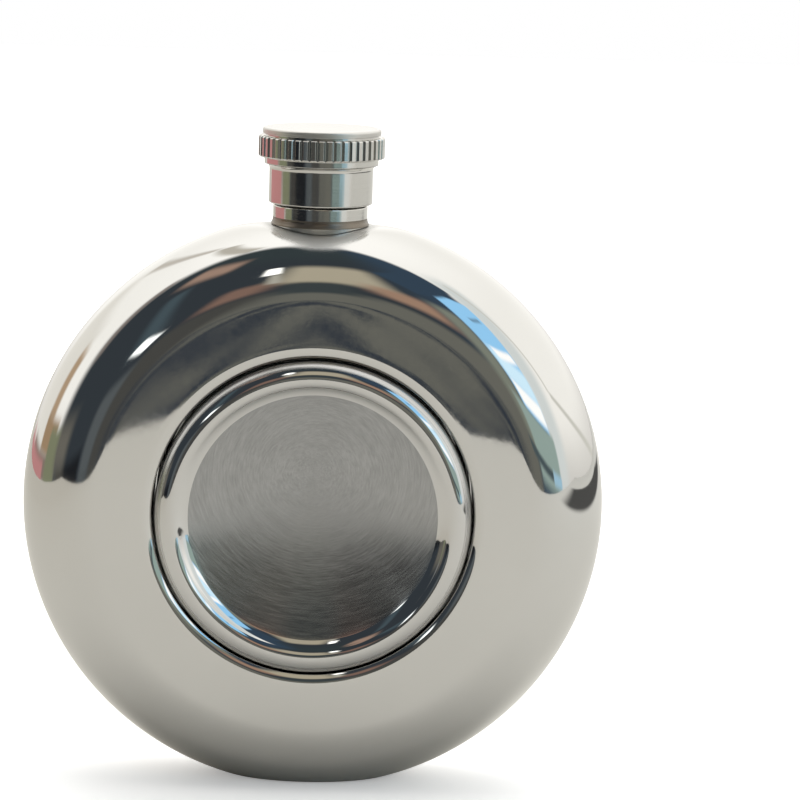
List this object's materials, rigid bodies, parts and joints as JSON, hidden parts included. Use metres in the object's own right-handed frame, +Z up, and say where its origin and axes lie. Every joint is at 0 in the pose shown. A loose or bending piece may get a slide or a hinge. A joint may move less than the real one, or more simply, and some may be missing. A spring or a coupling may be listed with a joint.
{
  "type": "hip flask",
  "caption": "Round polished steel pocket flask with a knurled screw cap on a threaded neck and a collapsible drinking cup that pulls out of a well in its middle.",
  "frame": {"origin": "middle of the flat that the flask stands on, on the middle plane of the body", "axes": "+Z up along the neck, -Y out of the front face with the cup's foot, +X to the right seen from the front"},
  "size_m": [0.11, 0.0304, 0.1246],
  "materials": {
    "body_steel": "mirror-polished stainless steel",
    "well_steel": "plain drawn stainless steel",
    "neck_steel": "turned and polished stainless steel",
    "cap_steel": "turned and polished stainless steel",
    "seal_silicone": "matte",
    "foot_steel": "polished bead round a disc with circular brush marks",
    "cup_steel": "polished stainless steel"
  },
  "bodies": {
    "flask": {"front_shell": "body_steel", "rear_shell": "body_steel", "well_tube": "well_steel", "well_stop_ring": "well_steel", "neck": "neck_steel"},
    "cap_seal": {"cap_gasket": "seal_silicone"},
    "cap": {"cap": "cap_steel"},
    "cup_rim": {"cup_rim_ring": "cup_steel"},
    "cup_upper": {"cup_upper_ring": "cup_steel"},
    "cup_lower": {"cup_lower_ring": "cup_steel"},
    "cup_base": {"cup_foot": "foot_steel", "cup_floor_ring": "cup_steel"}
  },
  "joints": [
    {"name": "cap_lift", "type": "slide", "parent": "flask", "child": "cap_seal", "axis": [0, 0, 1], "range_m": [0, 0.01141]},
    {"name": "cap_turn", "type": "hinge", "parent": "cap_seal", "child": "cap", "pos_m": [0, 0, 0.1172], "axis": [0, 0, 1], "range_deg": [0, 2160]},
    {"name": "cup_pull", "type": "slide", "parent": "flask", "child": "cup_rim", "axis": [0, -1, 0], "range_m": [0, 0.045]},
    {"name": "cup_upper_draw", "type": "slide", "parent": "cup_rim", "child": "cup_upper", "axis": [0, -1, 0], "range_m": [0, 0.013]},
    {"name": "cup_lower_draw", "type": "slide", "parent": "cup_upper", "child": "cup_lower", "axis": [0, -1, 0], "range_m": [0, 0.013]},
    {"name": "cup_foot_draw", "type": "slide", "parent": "cup_lower", "child": "cup_base", "axis": [0, -1, 0], "range_m": [0, 0.013]}
  ],
  "couplings": [
    {"joint": "cap_lift", "follows": "cap_turn", "m_per_rad": 0.00030239}
  ]
}
